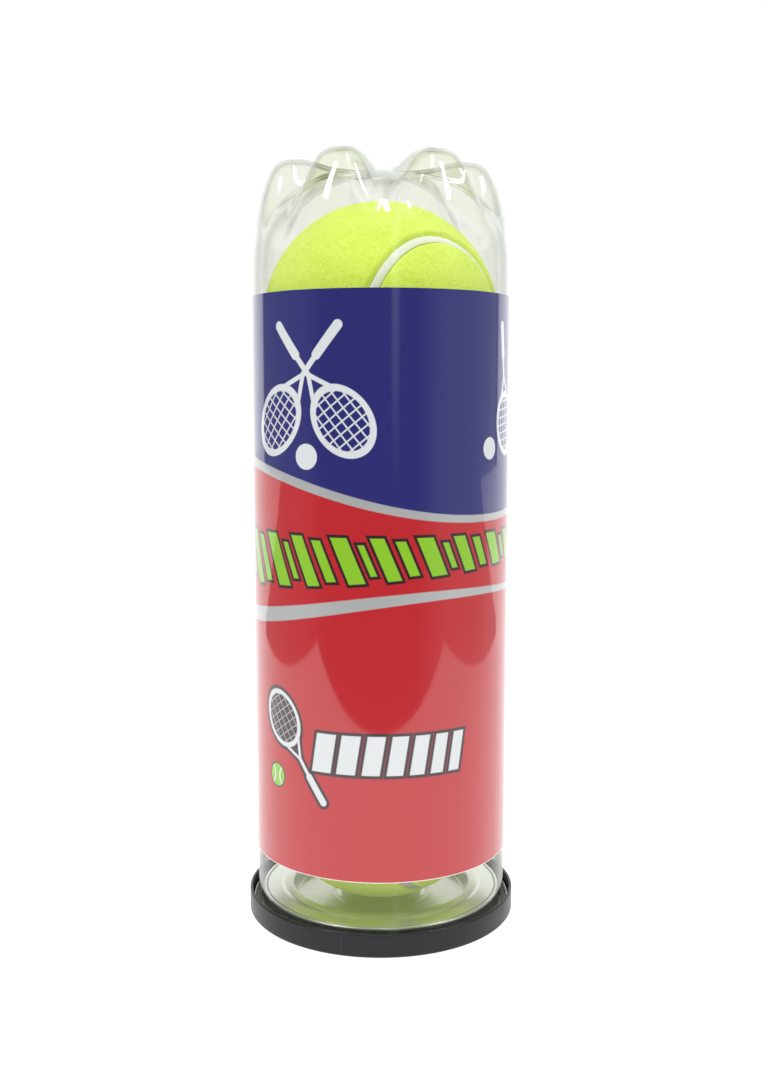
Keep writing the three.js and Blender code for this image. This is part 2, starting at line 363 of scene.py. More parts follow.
@dataclass(frozen=True)
class PrintedWrap(Finish):
    """The glossy printed sleeve: two colour fields, silver bands and plain racket motifs."""

    name: str = "wrap_print"
    radius: float = 36.0
    low: float = 19.9
    high: float = 176.2
    blue: Colour = rgb(0.020, 0.020, 0.145)
    red: Colour = rgb(0.43, 0.015, 0.021)
    silver: Colour = rgb(0.46, 0.47, 0.47)
    white: Colour = rgb(0.60, 0.62, 0.63)
    green: Colour = rgb(0.22, 0.47, 0.02)
    ink: Colour = rgb(0.03, 0.012, 0.018)
    paper: Colour = rgb(0.82, 0.83, 0.80)
    stripe_places: tuple[tuple[float, float], ...] = (
        (-15.6, 2.9),
        (-8.6, 2.7),
        (-1.8, 2.5),
        (4.6, 2.3),
        (10.6, 2.1),
        (16.2, 1.9),
        (21.4, 1.7),
    )

    @staticmethod
    def stroke(
        u: Value, z: Value, start: tuple[float, float], end: tuple[float, float], radius: float
    ) -> Value:
        """Distance from a round-ended stroke, in millimetres."""
        run, rise = end[0] - start[0], end[1] - start[1]
        across, up = u - start[0], z - start[1]
        along = ((across * run + up * rise) / (run * run + rise * rise)).clamped()
        across, up = across - along * run, up - along * rise
        return (across * across + up * up).root() - radius

    @staticmethod
    def turned(u: Value, z: Value, centre: tuple[float, float], turn: float) -> tuple[Value, Value]:
        """A point's place in a frame with another centre and turn."""
        across, up = u - centre[0], z - centre[1]
        c, s = math.cos(turn), math.sin(turn)
        return across * c + up * s, up * c - across * s

    def racket(self, u: Value, z: Value, head: tuple[float, float], turn: float, size: float) -> Value:
        """Distance from a plain racket whose handle points along its turn.

        Args:
            u: Distance round the wrap, in millimetres.
            z: Height, in millimetres.
            head: Centre of the head.
            turn: Direction of the handle, in radians.
            size: Half the head's length.

        Returns:
            The distance.
        """
        a, b = self.turned(u, z, head, turn)
        wide = size * 0.76
        oval = ((a * a) / (size * size) + (b * b) / (wide * wide)).root()
        rim = abs(oval - 0.93) * wide - size * 0.075
        strings = (
            abs(a.repeated(size * 0.24)).lower(abs(b.repeated(size * 0.24))) - size * 0.02
        ).higher((oval - 1.0) * wide)
        left = self.stroke(a, b, (size * 0.86, wide * 0.42), (size * 1.5, 0), size * 0.06)
        right = self.stroke(a, b, (size * 0.86, -wide * 0.42), (size * 1.5, 0), size * 0.06)
        shaft = self.stroke(a, b, (size * 1.5, 0), (size * 2.1, 0), size * 0.075)
        grip = self.stroke(a, b, (size * 2.15, 0), (size * 3.1, 0), size * 0.13)
        return rim.lower(strings).lower(left.lower(right)).lower(shaft.lower(grip))

    @staticmethod
    def disc(u: Value, z: Value, centre: tuple[float, float], radius: float) -> Value:
        """Distance from a disc."""
        across, up = u - centre[0], z - centre[1]
        return (across * across + up * up).root() - radius

    def upper_line(self, turn: Value) -> Value:
        """Height of the band between the two colour fields."""
        once = turn.sine() * 6.88 + turn.cosine() * 1.37
        twice = (turn * 2).sine() * 0.58 + (turn * 2).cosine() * 1.47
        return 122.97 - once - twice

    def lower_line(self, turn: Value) -> Value:
        """Height of the band through the red field."""
        once = turn.sine() * 3.75 + turn.cosine() * 1.18
        twice = (turn * 2).sine() * 0.34 + (turn * 2).cosine() * 1.29
        return 93.16 + once + twice

    def emblems(self, u: Value, z: Value) -> Value:
        """Distance from the crossed rackets, or the single one, that stand by turns round the top."""
        girth = 2 * math.pi * self.radius
        s = (u + 20.5).repeated(girth / 2)
        crossed = self.racket(s, z, (10.5, 142.5), math.radians(129), 10.2).lower(
            self.racket(s, z, (-10.5, 142.5), math.radians(51), 10.2)
        )
        crossed = crossed.lower(self.disc(s, z, (0, 133.2), 3.4))
        t = (u - 43.0).repeated(girth / 2)
        single = self.racket(t, z, (1.5, 141.5), math.radians(97), 8.6).lower(
            self.disc(t, z, (-9.0, 135.0), 3.0)
        )
        return crossed.lower(single)

    def bars(self, turn: Value, u: Value, z: Value) -> Value:
        """Distance from the slanted bars between the two bands."""
        girth = 2 * math.pi * self.radius
        middle = 106.6 + turn.sine() * 1.6
        half = 6.1 - turn.sine() * 1.6
        up = abs(z - middle)
        slant = u + (z - middle) * 0.42
        bars = None
        for place, width, share in ((-8.6, 2.6, 1.0), (-3.4, 1.2, 0.72), (1.5, 2.2, 1.0), (7.2, 1.7, 0.86)):
            bar = (abs((slant - place).repeated(girth / 10)) - width).higher(up - half * share)
            bars = bar if bars is None else bars.lower(bar)
        return bars

    def paint(self, shader: Shader) -> bpy.types.NodeSocket:
        """The print, its gloss and the bare paper inside."""
        x, y, height = shader.split(shader.place())
        turn = shader.math("ARCTAN2", x, -y)
        u, z = turn * self.radius, height * 1000.0
        girth = 2 * math.pi * self.radius

        upper, lower = self.upper_line(turn), self.lower_line(turn)
        colour = shader.mix((upper - z).inside(0.3), self.red, self.blue)

        thin = (abs(z - upper) - (1.12 - turn.sine() * 0.2)).inside(0.3)
        wide = (abs(z - lower) - (1.5 - turn.sine() * 0.65)).inside(0.3)
        silver = thin.higher(wide)
        colour = shader.mix(silver, colour, self.silver)

        colour = shader.mix(self.emblems(u, z).inside(0.2), colour, self.white)
        bars = self.bars(turn, u, z)
        colour = shader.mix((bars - 0.45).inside(0.25), colour, self.ink)
        colour = shader.mix((bars + 0.35).inside(0.25), colour, self.green)

        v = u.repeated(girth / 2)
        stripes = None
        for place, half in self.stripe_places:
            tilt = v - place - (z - 54.6) * 0.16
            stripe = (abs(tilt) - half).higher(abs(z - 54.6) - 5.4)
            stripes = stripe if stripes is None else stripes.lower(stripe)
        mark = stripes.lower(self.racket(v, z, (-30, 62), math.radians(-56), 8.2))
        colour = shader.mix((mark - 0.75).inside(0.3), colour, self.ink)
        colour = shader.mix((mark + 0.1).inside(0.25), colour, self.white)
        ball = self.disc(v, z, (-32.5, 45.6), 3.2)
        curl = abs(self.disc(v, z, (-36.6, 45.6), 3.1)).lower(abs(self.disc(v, z, (-28.4, 45.6), 3.1)))
        colour = shader.mix((ball - 0.3).inside(0.25), colour, self.ink)
        colour = shader.mix((ball + 0.1).inside(0.25), colour, self.green)
        colour = shader.mix((curl - 0.28).inside(0.2) * (ball + 0.2).inside(0.2), colour, self.white)

        margin = (z - self.low - 0.2).inside(0.15)
        colour = shader.mix(margin, colour, self.paper)
        lap = abs((u + girth / 2 - 4).repeated(girth)) - 0.12
        speck = shader.noise(9000, 2).ramp(0.72, 0.9) * 0.25
        colour = shader.mix(speck, colour, self.white)

        normal = shader.node("NewGeometry").outputs["Normal"]
        nx, ny, _ = shader.split(normal)
        inward = (-(nx * x + ny * y)).ramp(0.0, 0.004)
        colour = shader.mix(inward, colour, self.paper)
        streaks = shader.noise(150, 2, (1, 1, 0.04)) * 0.7 + shader.noise(60, 1, (1, 1, 0.2)) * 0.3
        ripples = streaks + lap.inside(0.1) * 0.3
        return shader.surface(
            Base_Color=colour,
            Roughness=0.3 + silver * 0.05 + shader.noise(700, 3) * 0.06,
            Metallic=silver * 0.35,
            Coat_Weight=1.0,
            Coat_Roughness=0.05,
            Coat_IOR=1.6,
            Specular_IOR_Level=0.2,
            Normal=shader.bump(ripples, 0.0002, 0.5),
        )


@dataclass(frozen=True)
class RolledAluminium(Finish):
    """Bright aluminium sheet with rolling lines, stamping rings and light scratches."""

    name: str = "rolled_aluminium"
    colour: Colour = rgb(0.76, 0.77, 0.75)
    dull: Colour = rgb(0.52, 0.53, 0.52)

    def paint(self, shader: Shader) -> bpy.types.NodeSocket:
        """Rolling lines one way and stamped rings about the middle."""
        x, y, _ = shader.split(shader.place())
        rolling = shader.noise(900, 3, (0.05, 1, 1))
        radius = (x * x + y * y).root()
        rings = (radius * 4200.0).sine() * 0.5 + 0.5
        scratches = shader.noise(1500, 5, (1, 0.08, 1)).ramp(0.62, 0.8)
        return shader.surface(
            Base_Color=shader.mix(rolling * 0.2 + scratches * 0.2, self.colour, self.dull),
            Metallic=1.0,
            Roughness=0.27 + rolling * 0.08 + scratches * 0.08,
            Normal=shader.bump(rolling * 0.3 + rings * 0.2 - scratches * 0.3, 0.00002, 0.35),
        )


@dataclass(frozen=True)
class SealingCompound(Finish):
    """Grey sealing compound, matt and slightly lumpy."""

    name: str = "sealing_compound"

    def paint(self, shader: Shader) -> bpy.types.NodeSocket:
        """A lumpy matt grey."""
        lumps = shader.noise(900, 4)
        return shader.surface(
            Base_Color=shader.mix(lumps, rgb(0.22, 0.24, 0.26), rgb(0.34, 0.36, 0.38)),
            Roughness=0.7 + lumps * 0.2,
            Normal=shader.bump(lumps, 0.0002, 0.5),
        )


@dataclass(frozen=True)
class BallFelt(Finish):
    """Yellow-green napped felt, woolly and softly mottled, with a faint painted glow that lightens its shade.
    """

    name: str = "ball_felt"
    bright: Colour = rgb(0.59, 0.73, 0.125)
    deep: Colour = rgb(0.47, 0.61, 0.06)
    # Painted light: the colour of a faint emission that brightens the felt where it lies in shade.
    glow: Colour = rgb(0.60, 0.78, 0.08)

    def paint(self, shader: Shader) -> bpy.types.NodeSocket:
        """Mottled wool with a nap."""
        mottle = shader.noise(160, 4)
        wool = shader.noise(1100, 6)
        tufts = shader.noise(3800, 3)
        height = wool * 0.6 + tufts * 0.4
        shade = (mottle * 0.45 + (1.0 - wool) * 0.75).ramp(0.35, 0.95)
        return shader.surface(
            Base_Color=shader.mix(shade, self.bright, self.deep),
            Roughness=0.88 + tufts * 0.12,
            # Painted light: the felt glows a little, which lifts its shaded side; it is no lamp.
            Emission_Color=self.glow,
            Emission_Strength=0.22,
            Sheen_Weight=0.35,
            Sheen_Roughness=0.5,
            Sheen_Tint=rgb(0.95, 1.0, 0.6),
            Specular_IOR_Level=0.15,
            Normal=shader.bump(height, 0.0009, 0.7),
        )


@dataclass(frozen=True)
class Rubber(Finish):
    """Matt rubber with a faint bloom."""

    name: str = "rubber"
    colour: Colour = rgb(0.74, 0.76, 0.70)
    bloom: Colour = rgb(0.60, 0.64, 0.52)

    def paint(self, shader: Shader) -> bpy.types.NodeSocket:
        """A bloomed and slightly pitted surface."""
        cloud = shader.noise(300, 4)
        pits = shader.noise(2600, 3).ramp(0.5, 0.8)
        return shader.surface(
            Base_Color=shader.mix(cloud * 0.6 + pits * 0.4, self.colour, self.bloom),
            Roughness=0.62 + cloud * 0.25,
            Normal=shader.bump(1.0 - pits, 0.00015, 0.5),
        )


class Finishes(Enum):
    """Every finish on the can."""

    BLACK = MouldedBlack()
    CLEAR = ClearPlastic()
    PRINT = PrintedWrap()
    METAL = RolledAluminium()
    COMPOUND = SealingCompound()
    FELT = BallFelt()
    SEAM = Rubber("ball_seam_rubber")
    CORE = Rubber("ball_core_rubber", rgb(0.10, 0.09, 0.085), rgb(0.16, 0.15, 0.14))


# ---- Meshes ------------------------------------------------------------------------------------
def rounded(outline: Outline, radius: float, steps: int = 4) -> Outline:
    """An outline whose corners are eased.

    Args:
        outline: Points in millimetres.
        radius: How far along each side the ease starts.
        steps: Points in each ease.

    Returns:
        The eased outline, with the same ends.
    """
    points = [Vector(p) for p in outline]
    eased = [points[0]]
    for before, corner, after in zip(points, points[1:], points[2:]):
        into, out = before - corner, after - corner
        reach = min(radius, into.length * 0.45, out.length * 0.45)
        a, b = corner + into.normalized() * reach, corner + out.normalized() * reach
        for i in range(steps + 1):
            t = i / steps
            eased.append(a * (1 - t) ** 2 + corner * 2 * t * (1 - t) + b * t**2)
    eased.append(points[-1])
    return [(p.x, p.y) for p in eased]


def eased_ring(outline: Outline, radius: float) -> Outline:
    """A closed outline with every corner eased."""
    (r0, z0), (r1, z1) = outline[0], outline[1]
    middle = ((r0 + r1) / 2, (z0 + z1) / 2)
    return rounded([middle, *outline[1:], outline[0], middle], radius)[:-1]


def sheet(middle: Outline, thickness: float) -> Outline:
    """The closed section of a bent sheet, from its middle line."""
    points = [Vector(p) for p in middle]
    offsets = []
    for i, point in enumerate(points):
        before, after = points[max(i - 1, 0)], points[min(i + 1, len(points) - 1)]
        into = (point - before).normalized() if i else (after - point).normalized()
        out = (after - point).normalized() if i < len(points) - 1 else into
        along = (into + out).normalized()
        offsets.append(Vector((-along.y, along.x)) * (thickness / 2 / along.dot(out)))
    left = [p + o for p, o in zip(points, offsets, strict=True)]
    right = [p - o for p, o in zip(points, offsets, strict=True)]
    return [(p.x, p.y) for p in (*right, *reversed(left))]


def swept_round(
    columns: int, rows: int, point: Callable[[int, int], tuple[float, float, float]], ring: bool
) -> tuple[np.ndarray, list[tuple[int, ...]]]:
    """Vertices and faces of a grid that closes round the axis.

    Args:
        columns: Steps round.
        rows: Points in the outline.
        point: The place, in millimetres, of a column and a row.
        ring: Whether the outline closes on itself.

    Returns:
        The vertices, in metres, and the faces.
    """
    vertices = np.array([point(i, j) for i in range(columns) for j in range(rows)]) * MM
    faces = []
    for i in range(columns):
        here, there = i * rows, (i + 1) % columns * rows
        for j in range(rows if ring else rows - 1):
            k = (j + 1) % rows
            faces.append((here + j, there + j, there + k, here + k))
    return vertices, faces


def turned(outline: Outline, steps: int = 192, ring: bool = False) -> tuple[np.ndarray, list]:
    """A turned surface's vertices and faces."""
    angles = [2 * math.pi * i / steps for i in range(steps)]

    def point(i: int, j: int) -> tuple[float, float, float]:
        """The place of one vertex."""
        r, z = outline[j]
        return (r * math.cos(angles[i]), r * math.sin(angles[i]), z)

    return swept_round(steps, len(outline), point, ring)


def smooth_path(points: Outline, count: int) -> Outline:
    """Points along a smooth curve through an outline that never swings past it.

    Args:
        points: The outline's points.
        count: Points to make between each pair.

    Returns:
        The finer outline.
    """
    known = np.array(points, float)
    steps = np.diff(known, axis=0)
    reach = np.linalg.norm(steps, axis=1)
    slope = steps / reach[:, None]
    tangent = np.zeros_like(known)
    tangent[0], tangent[-1] = slope[0], slope[-1]
    for axis in range(2):
        for i in range(1, len(known) - 1):
            a, b = slope[i - 1][axis], slope[i][axis]
            tangent[i][axis] = 0 if a * b <= 0 else 2 * a * b / (a + b)
    fine = []
    for i, length in enumerate(reach):
        for k in range(count):
            t = k / count
            h = (2 * t**3 - 3 * t**2 + 1, t**3 - 2 * t**2 + t, 3 * t**2 - 2 * t**3, t**3 - t**2)
            p = (
                h[0] * known[i]
                + h[1] * length * tangent[i]
                + h[2] * known[i + 1]
                + h[3] * length * tangent[i + 1]
            )
            fine.append(tuple(p))
    return [*fine, tuple(known[-1])]


@dataclass
class Piece:
    """A mesh that stands for one or more CAD nodes."""

    name: str
    body: str
    slot: str
    finish: Finishes
    stands_for: tuple[str, ...] = ()
    crease: float = 32.0

    def build(self, vertices: np.ndarray, faces: Iterable[Sequence[int]]) -> bpy.types.Object:
        """Makes the mesh, paints it and sets it on its body.

        Args:
            vertices: Places in metres.
            faces: Vertex numbers of each face.

        Returns:
            The object.
        """
        mesh = bpy.data.meshes.new(self.name)
        mesh.from_pydata(np.asarray(vertices).tolist(), [], list(faces))
        mesh.validate()
        mesh.shade_smooth()
        mesh.set_sharp_from_angle(angle=math.radians(self.crease))
        mesh.materials.append(self.finish.value.material())
        made = bpy.data.objects.new(self.name, mesh)
        bpy.context.scene.collection.objects.link(made)
        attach(made, self.body)
        if self.stands_for:
            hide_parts(*self.stands_for)
        log.info("%s: %d faces", self.name, len(mesh.polygons))
        return made


def dress(node: str, finish: Finishes, ease: float = 0.0) -> None:
    """Paints a CAD node, and eases its edges if asked.

    Args:
        node: The CAD node's name.
        finish: What it is painted with.
        ease: Width of the ease on its edges, in millimetres.
    """
    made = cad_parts[node]
    made.data.materials.clear()
    made.data.materials.append(finish.value.material())
    weld = made.modifiers.new("weld", "WELD")
    weld.merge_threshold = 1e-6
    if ease:
        bevel = made.modifiers.new("ease", "BEVEL")
        bevel.width, bevel.segments = ease * MM, 3
        bevel.limit_method, bevel.angle_limit = "ANGLE", math.radians(40)
        bevel.harden_normals = True
    made.data.shade_smooth()
    log.info("%s: dressed as %s", node, finish.value.name)


# ---- Sub-assemblies ----------------------------------------------------------------------------
@dataclass
class Overcap:
    """The black cap that the can stands in. Sizes in millimetres."""

    radius: float = 38.4
    height: float = 6.6
    wall: float = 0.8
    bead: float = 0.25
    floor: float = 0.9
    recess: float = 0.3
    standing_ring: float = 30.0

    def build(self) -> None:
        """Turns the cap, with a gate mark under it and a stacking ring in it."""
        bore = self.radius - self.wall
        under = [
            (0.0, self.recess - 0.12),
            (1.2, self.recess - 0.12),
            (1.5, self.recess),
            (24.0, self.recess),
            (24.3, self.recess - 0.15),
            (25.3, self.recess - 0.15),
            (25.6, self.recess),
            (self.standing_ring, self.recess),
            (self.standing_ring + 0.5, 0.0),
            (self.radius - 0.5, 0.0),
            (self.radius, 0.5),
            (self.radius, self.height - 0.25),
            (self.radius - 0.25, self.height),
            (bore + 0.1, self.height),
            (bore - self.bead, self.height - 0.7),
            (bore, self.height - 1.4),
            (bore, self.floor),
            (0.0, self.floor),
        ]
        outline = rounded(under, 0.22)
        Piece("overcap_shell", "overcap", "black_plastic", Finishes.BLACK, ("overcap",)).build(
            *turned(outline)
        )


@dataclass
class Tube:
    """The clear blown tube with its six-footed base. Sizes in millimetres."""

    radius: float = 35.8
    wall: float = 0.7
    mouth: float = 2.2
    flange_radius: float = 36.55
    flange: float = 0.6
    shoulder: tuple[tuple[float, float], ...] = ((35.8, 182.0), (35.65, 187.0), (35.2, 191.6))
    rib_level: float = 189.5
    rib_radius: float = 35.2
    rib_rise: float = 21.4
    rib_share: float = 0.2
    steepness: int = 4
    rib_turns: tuple[float, ...] = (12, 22, 31, 40, 47, 53, 58, 63, 69, 77)
    foot: tuple[tuple[float, float], ...] = (
        (34.75, 196.5),
        (33.9, 200.8),
        (32.7, 205.0),
        (31.2, 208.8),
        (29.2, 211.8),
        (26.3, 213.3),
        (22.2, 213.6),
        (18.3, 212.9),
        (14.5, 211.8),
        (9.2, 211.1),
    )
    lobes: int = 6
    turn: float = math.radians(5.5)
    steps: int = 288
    fine: int = 5

    def outlines(self) -> tuple[Outline, Outline]:
        """The base's outlines along a rib and over a foot, from the straight wall to the axis."""
        ribs = [
            (
                self.rib_radius * math.cos(math.radians(a)),
                self.rib_level + self.rib_rise * math.sin(math.radians(a)),
            )
            for a in self.rib_turns
        ]
        apex = (0.0, self.rib_level + self.rib_rise)
        near = (4.5, apex[1] - 0.04)
        start = [(self.radius, self.shoulder[0][1] - 10)]
        tail = [near, apex]
        rib = smooth_path([*start, *self.shoulder, *ribs, *tail], self.fine)
        foot = smooth_path([*start, *self.shoulder, *self.foot, *tail], self.fine)
        return rib, foot

    def inset(self, outline: Outline) -> Outline:
        """An outline moved in by the wall."""
        points = np.array(outline)
        along = np.gradient(points, axis=0)
        along /= np.linalg.norm(along, axis=1)[:, None]
        moved = points + np.stack([-along[:, 1], along[:, 0]], axis=1) * self.wall
        moved[-1] = (0.0, points[-1][1] - self.wall)
        moved[:, 0] = np.maximum(moved[:, 0], 0)
        return [tuple(p) for p in moved]

    def foot_share(self, angle: float) -> float:
        """How much of the foot, from 0 in a rib to 1 on a foot, there is at an angle."""
        half = math.pi / self.lobes
        away = abs((angle + half) % (2 * half) - half) / half
        left = min(1.0, (1 - away) / (1 - self.rib_share))
        return 1 - left**self.steepness * (self.steepness + 1 - self.steepness * left)

    def build(self) -> None:
        """Sweeps the wall and the base round the axis."""
        rib, foot = self.outlines()
        bore = self.radius - self.wall
        neck: Outline = [
            (bore, self.mouth + 0.15),
            (bore + 0.15, self.mouth),
            (self.flange_radius - 0.15, self.mouth),
            (self.flange_radius, self.mouth + 0.15),
            (self.flange_radius, self.mouth + self.flange),
            (self.radius + 0.1, self.mouth + 2 * self.flange),
            (self.radius, self.mouth + 2.6 * self.flange),
        ]
        ribs = [*reversed(self.inset(rib)), *neck, *rib]
        feet = [*reversed(self.inset(foot)), *neck, *foot]
        angles = [2 * math.pi * i / self.steps for i in range(self.steps)]
        shares = [self.foot_share(a) for a in angles]

        def point(i: int, j: int) -> tuple[float, float, float]:
            """The place of one vertex."""
            r = ribs[j][0] + (feet[j][0] - ribs[j][0]) * shares[i]
            z = ribs[j][1] + (feet[j][1] - ribs[j][1]) * shares[i]
            a = angles[i] + self.turn
            return (r * math.sin(a), -r * math.cos(a), z)

        Piece("tube_shell", "can", "clear_pet", Finishes.CLEAR, ("tube",), 50.0).build(
            *swept_round(self.steps, len(ribs), point, False)
        )


@dataclass
class Wrap:
    """The printed sleeve round the tube. Sizes in millimetres."""

    inner: float = 35.88
    outer: float = 36.08
    low: float = 19.9
    high: float = 176.2

    def build(self) -> None:
        """Turns the sleeve."""
        outline = [
            (self.inner, self.low),
            (self.outer - 0.05, self.low),
            (self.outer, self.low + 0.05),
            (self.outer, self.high - 0.05),
            (self.outer - 0.05, self.high),
            (self.inner, self.high),
        ]
        Piece("wrap_sleeve", "can", "printed_wrap", Finishes.PRINT, ("wrap",)).build(
            *turned(outline, 288, True)
        )


@dataclass
class MetalEnd:
    """The aluminium end: seam, chuck wall, tear panel, rivet and pull tab. Sizes in millimetres."""

    gauge: float = 0.3
    lip: float = 33.55
    ledge: float = 6.5
    chuck: float = 34.5
    seam_radius: float = 37.0
    seam_low: float = 1.3
    seam_high: float = 4.0
    panel: float = 3.45
    flat_radius: float = 24.4
    crest: float = 7.0
    crest_radius: float = 25.8
    ledge_radius: float = 29.0
    panel_radius: float = 33.25
    beads: tuple[float, ...] = (13.0,)
    bead_drop: float = 0.35

    def build(self) -> None:
        """Turns the ring and the panel and dresses the tab's pieces."""
        ring = sheet(
            [
                (self.lip, self.ledge),
                (self.chuck - 0.3, self.ledge),
                (self.chuck - 0.1, self.ledge - 0.4),
                (self.chuck, self.seam_low),
                (self.seam_radius, self.seam_low),
                (self.seam_radius, self.seam_high),
            ],
            self.gauge,
        )
        Piece("end_seam_ring", "can", "aluminium", Finishes.METAL, ("end_ring",)).build(
            *turned(eased_ring(ring, 0.12), 192, True)
        )
        middle: Outline = [(0.0, self.panel)]
        for radius in self.beads:
            middle += [
                (radius - 1.1, self.panel),
                (radius - 0.4, self.panel - self.bead_drop),
                (radius + 0.4, self.panel - self.bead_drop),
                (radius + 1.1, self.panel),
            ]
        middle += [
            (self.flat_radius, self.panel),
            (self.crest_radius, self.crest),
            (self.ledge_radius - 0.6, self.crest),
            (self.ledge_radius, self.ledge),
            (self.panel_radius, self.ledge),
        ]
        section = rounded([*sheet(middle, self.gauge)], 0.3)
        Piece("tear_panel_sheet", "end_panel", "aluminium", Finishes.METAL, ("tear_panel",)).build(
            *turned(section)
        )
        dress("tab_rivet", Finishes.METAL, 0.08)
        dress("tab_tongue", Finishes.METAL, 0.08)
        dress("pull_tab", Finishes.METAL, 0.32)
        dress("seam_compound", Finishes.COMPOUND)


@dataclass
class Ball:
    """One felt-covered ball. Sizes in millimetres, turns in degrees about X, Y and Z."""

    name: str
    turns: tuple[float, float, float]
    radius: float = 33.0
    swing: float = 0.26
    seam_half: float = 1.1
    seam_top: float = 32.4
    seam_base: float = 31.2
    stations: int = 720
    fibres: int = 9000
    seed: int = 3
    centre: Vector = field(init=False)

    def __post_init__(self) -> None:
        """Finds the ball's middle from its CAD nodes."""
        corners = [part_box(f"{self.name}_felt_{side}") for side in "ab"]
        low = min(c[0].z for c in corners)
        high = max(c[1].z for c in corners)
        self.centre = Vector((0, 0, (low + high) / 2))

    def turn(self) -> np.ndarray:
        """The ball's turn as a matrix."""
        x, y, z = (math.radians(t) for t in self.turns)
        made = Matrix.Rotation(x, 3, "X") @ Matrix.Rotation(y, 3, "Y") @ Matrix.Rotation(z, 3, "Z")
        return np.array(made)

    def seam_line(self) -> tuple[np.ndarray, np.ndarray]:
        """Directions along the seam, and the sideways direction at each."""
        t = np.linspace(0, 2 * math.pi, self.stations, endpoint=False)
        a, b = 1 - self.swing, self.swing
        line = np.stack(
            [
                a * np.cos(t) + b * np.cos(3 * t),
                a * np.sin(t) - b * np.sin(3 * t),
                2 * math.sqrt(a * b) * np.sin(2 * t),
            ],
            axis=1,
        )
        line /= np.linalg.norm(line, axis=1)[:, None]
        line = line @ self.turn().T
        along = np.roll(line, -1, axis=0) - np.roll(line, 1, axis=0)
        side = np.cross(line, along)
        return line, side / np.linalg.norm(side, axis=1)[:, None]

    def nap(self, random: np.random.Generator, ways: np.ndarray, away: np.ndarray) -> np.ndarray:
        """Corners of the felt's stray fibres, three to a fibre, in millimetres."""
        picks = random.integers(0, len(ways), self.fibres)
        picks = picks[(away[picks] > 2.0) & (np.abs(ways[picks][:, 2]) < 0.93)]
        out = ways[picks] + random.normal(0, 0.008, (len(picks), 3))
        out /= np.linalg.norm(out, axis=1)[:, None]
        lean = random.normal(0, 1, out.shape)
        lean -= out * (lean * out).sum(1)[:, None]
        lean /= np.linalg.norm(lean, axis=1)[:, None]
        wide = np.cross(out, lean) * 0.035
        foot = out * (self.radius - 0.15)
        tip = foot + out * random.uniform(0.35, 0.8, (len(out), 1)) + lean * random.uniform(
            0.2, 0.9, (len(out), 1)
        )
        return np.stack([foot - wide, foot + wide, tip], axis=1).reshape(-1, 3)

    def panels(self) -> None:
        """Builds the two felt panels."""
        line, side = self.seam_line()
        bpy.ops.mesh.primitive_ico_sphere_add(subdivisions=7)
        blank = bpy.context.object
        ways = np.empty(len(blank.data.vertices) * 3)
        blank.data.vertices.foreach_get("co", ways)
        ways = ways.reshape(-1, 3)
        ways /= np.linalg.norm(ways, axis=1)[:, None]
        faces = np.empty(len(blank.data.polygons) * 3, int)
        blank.data.polygons.foreach_get("vertices", faces)
        faces = faces.reshape(-1, 3)
        bpy.data.objects.remove(blank)

        nearest = np.concatenate([np.argmax(part @ line.T, axis=1) for part in np.array_split(ways, 40)])
        offset = ways - line[nearest]
        sign = (offset * side[nearest]).sum(1) > 0
        away = np.linalg.norm(offset, axis=1) * self.radius
        rise = np.clip((away - 0.8) / 1.5, 0, 1)
        rise = rise * rise * (3 - 2 * rise)
        random = np.random.default_rng(self.seed)
        tumble = random.normal(0, 1, (24, 3)) * random.uniform(12, 60, (24, 1))
        phase = random.uniform(0, 6.28, 24)
        lumps = np.sin(ways @ tumble.T + phase).sum(1) / 24
        reach = self.radius - 1.7 * (1 - rise) + lumps * 0.14 * rise
        places = ways * reach[:, None]
        fuzz = self.nap(random, ways, away)
        fuzz_sign = self.side_of(fuzz[::3], line, side)

        for letter, wanted in (("a", True), ("b", False)):
            kept = faces[sign[faces].sum(1) >= 2] if wanted else faces[sign[faces].sum(1) < 2]
            used, index = np.unique(kept, return_inverse=True)
            hairs = fuzz.reshape(-1, 3, 3)[fuzz_sign == wanted].reshape(-1, 3)
            corners = np.concatenate([places[used], hairs]) * MM + np.array(self.centre)
            tris = np.arange(len(hairs)).reshape(-1, 3) + len(used)
            every = np.concatenate([index.reshape(-1, 3), tris])
            node = self.node_for(places[used].mean(0))
            Piece(f"{node}_panel", self.name, "felt", Finishes.FELT, (node,), 180.0).build(
                corners, every.tolist()
            )

    @staticmethod
    def side_of(points: np.ndarray, line: np.ndarray, side: np.ndarray) -> np.ndarray:
        """Which side of the seam each point lies on."""
        ways = points / np.linalg.norm(points, axis=1)[:, None]
        nearest = np.argmax(ways @ line.T, axis=1)
        return ((ways - line[nearest]) * side[nearest]).sum(1) > 0

    def node_for(self, middle: np.ndarray) -> str:
        """The CAD felt node that lies where a panel does."""

        def apart(letter: str) -> float:
            """How far a CAD panel's middle is from this one's."""
            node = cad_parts[f"{self.name}_felt_{letter}"]
            places = np.array([v.co for v in node.data.vertices])
            far = np.linalg.norm(places - np.array(self.centre), axis=1) > 32 * MM
            return float(np.linalg.norm(places[far].mean(0) - np.array(self.centre) - middle * MM))

        return f"{self.name}_felt_{min('ab', key=apart)}"

    def seam(self) -> None:
        """Builds the rubber line between the panels."""
        line, side = self.seam_line()
        line, side = line[::2], side[::2]
        half, top, base = self.seam_half, self.seam_top, self.seam_base
        section = [(-half, base), (half, base), (half, top - 0.25), (half * 0.6, top - 0.05)]
        section += [(0.0, top), (-half * 0.6, top - 0.05), (-half, top - 0.25)]
        rows = len(section)

        def point(i: int, j: int) -> tuple[float, float, float]:
            """The place of one vertex."""
            across, out = section[j]
            return tuple(line[i] * out + side[i] * across + np.array(self.centre) / MM)

        name = f"{self.name}_seam"
        Piece(f"{name}_line", self.name, "seam_rubber", Finishes.SEAM, (name,), 60.0).build(
            *swept_round(len(line), rows, point, True)
        )

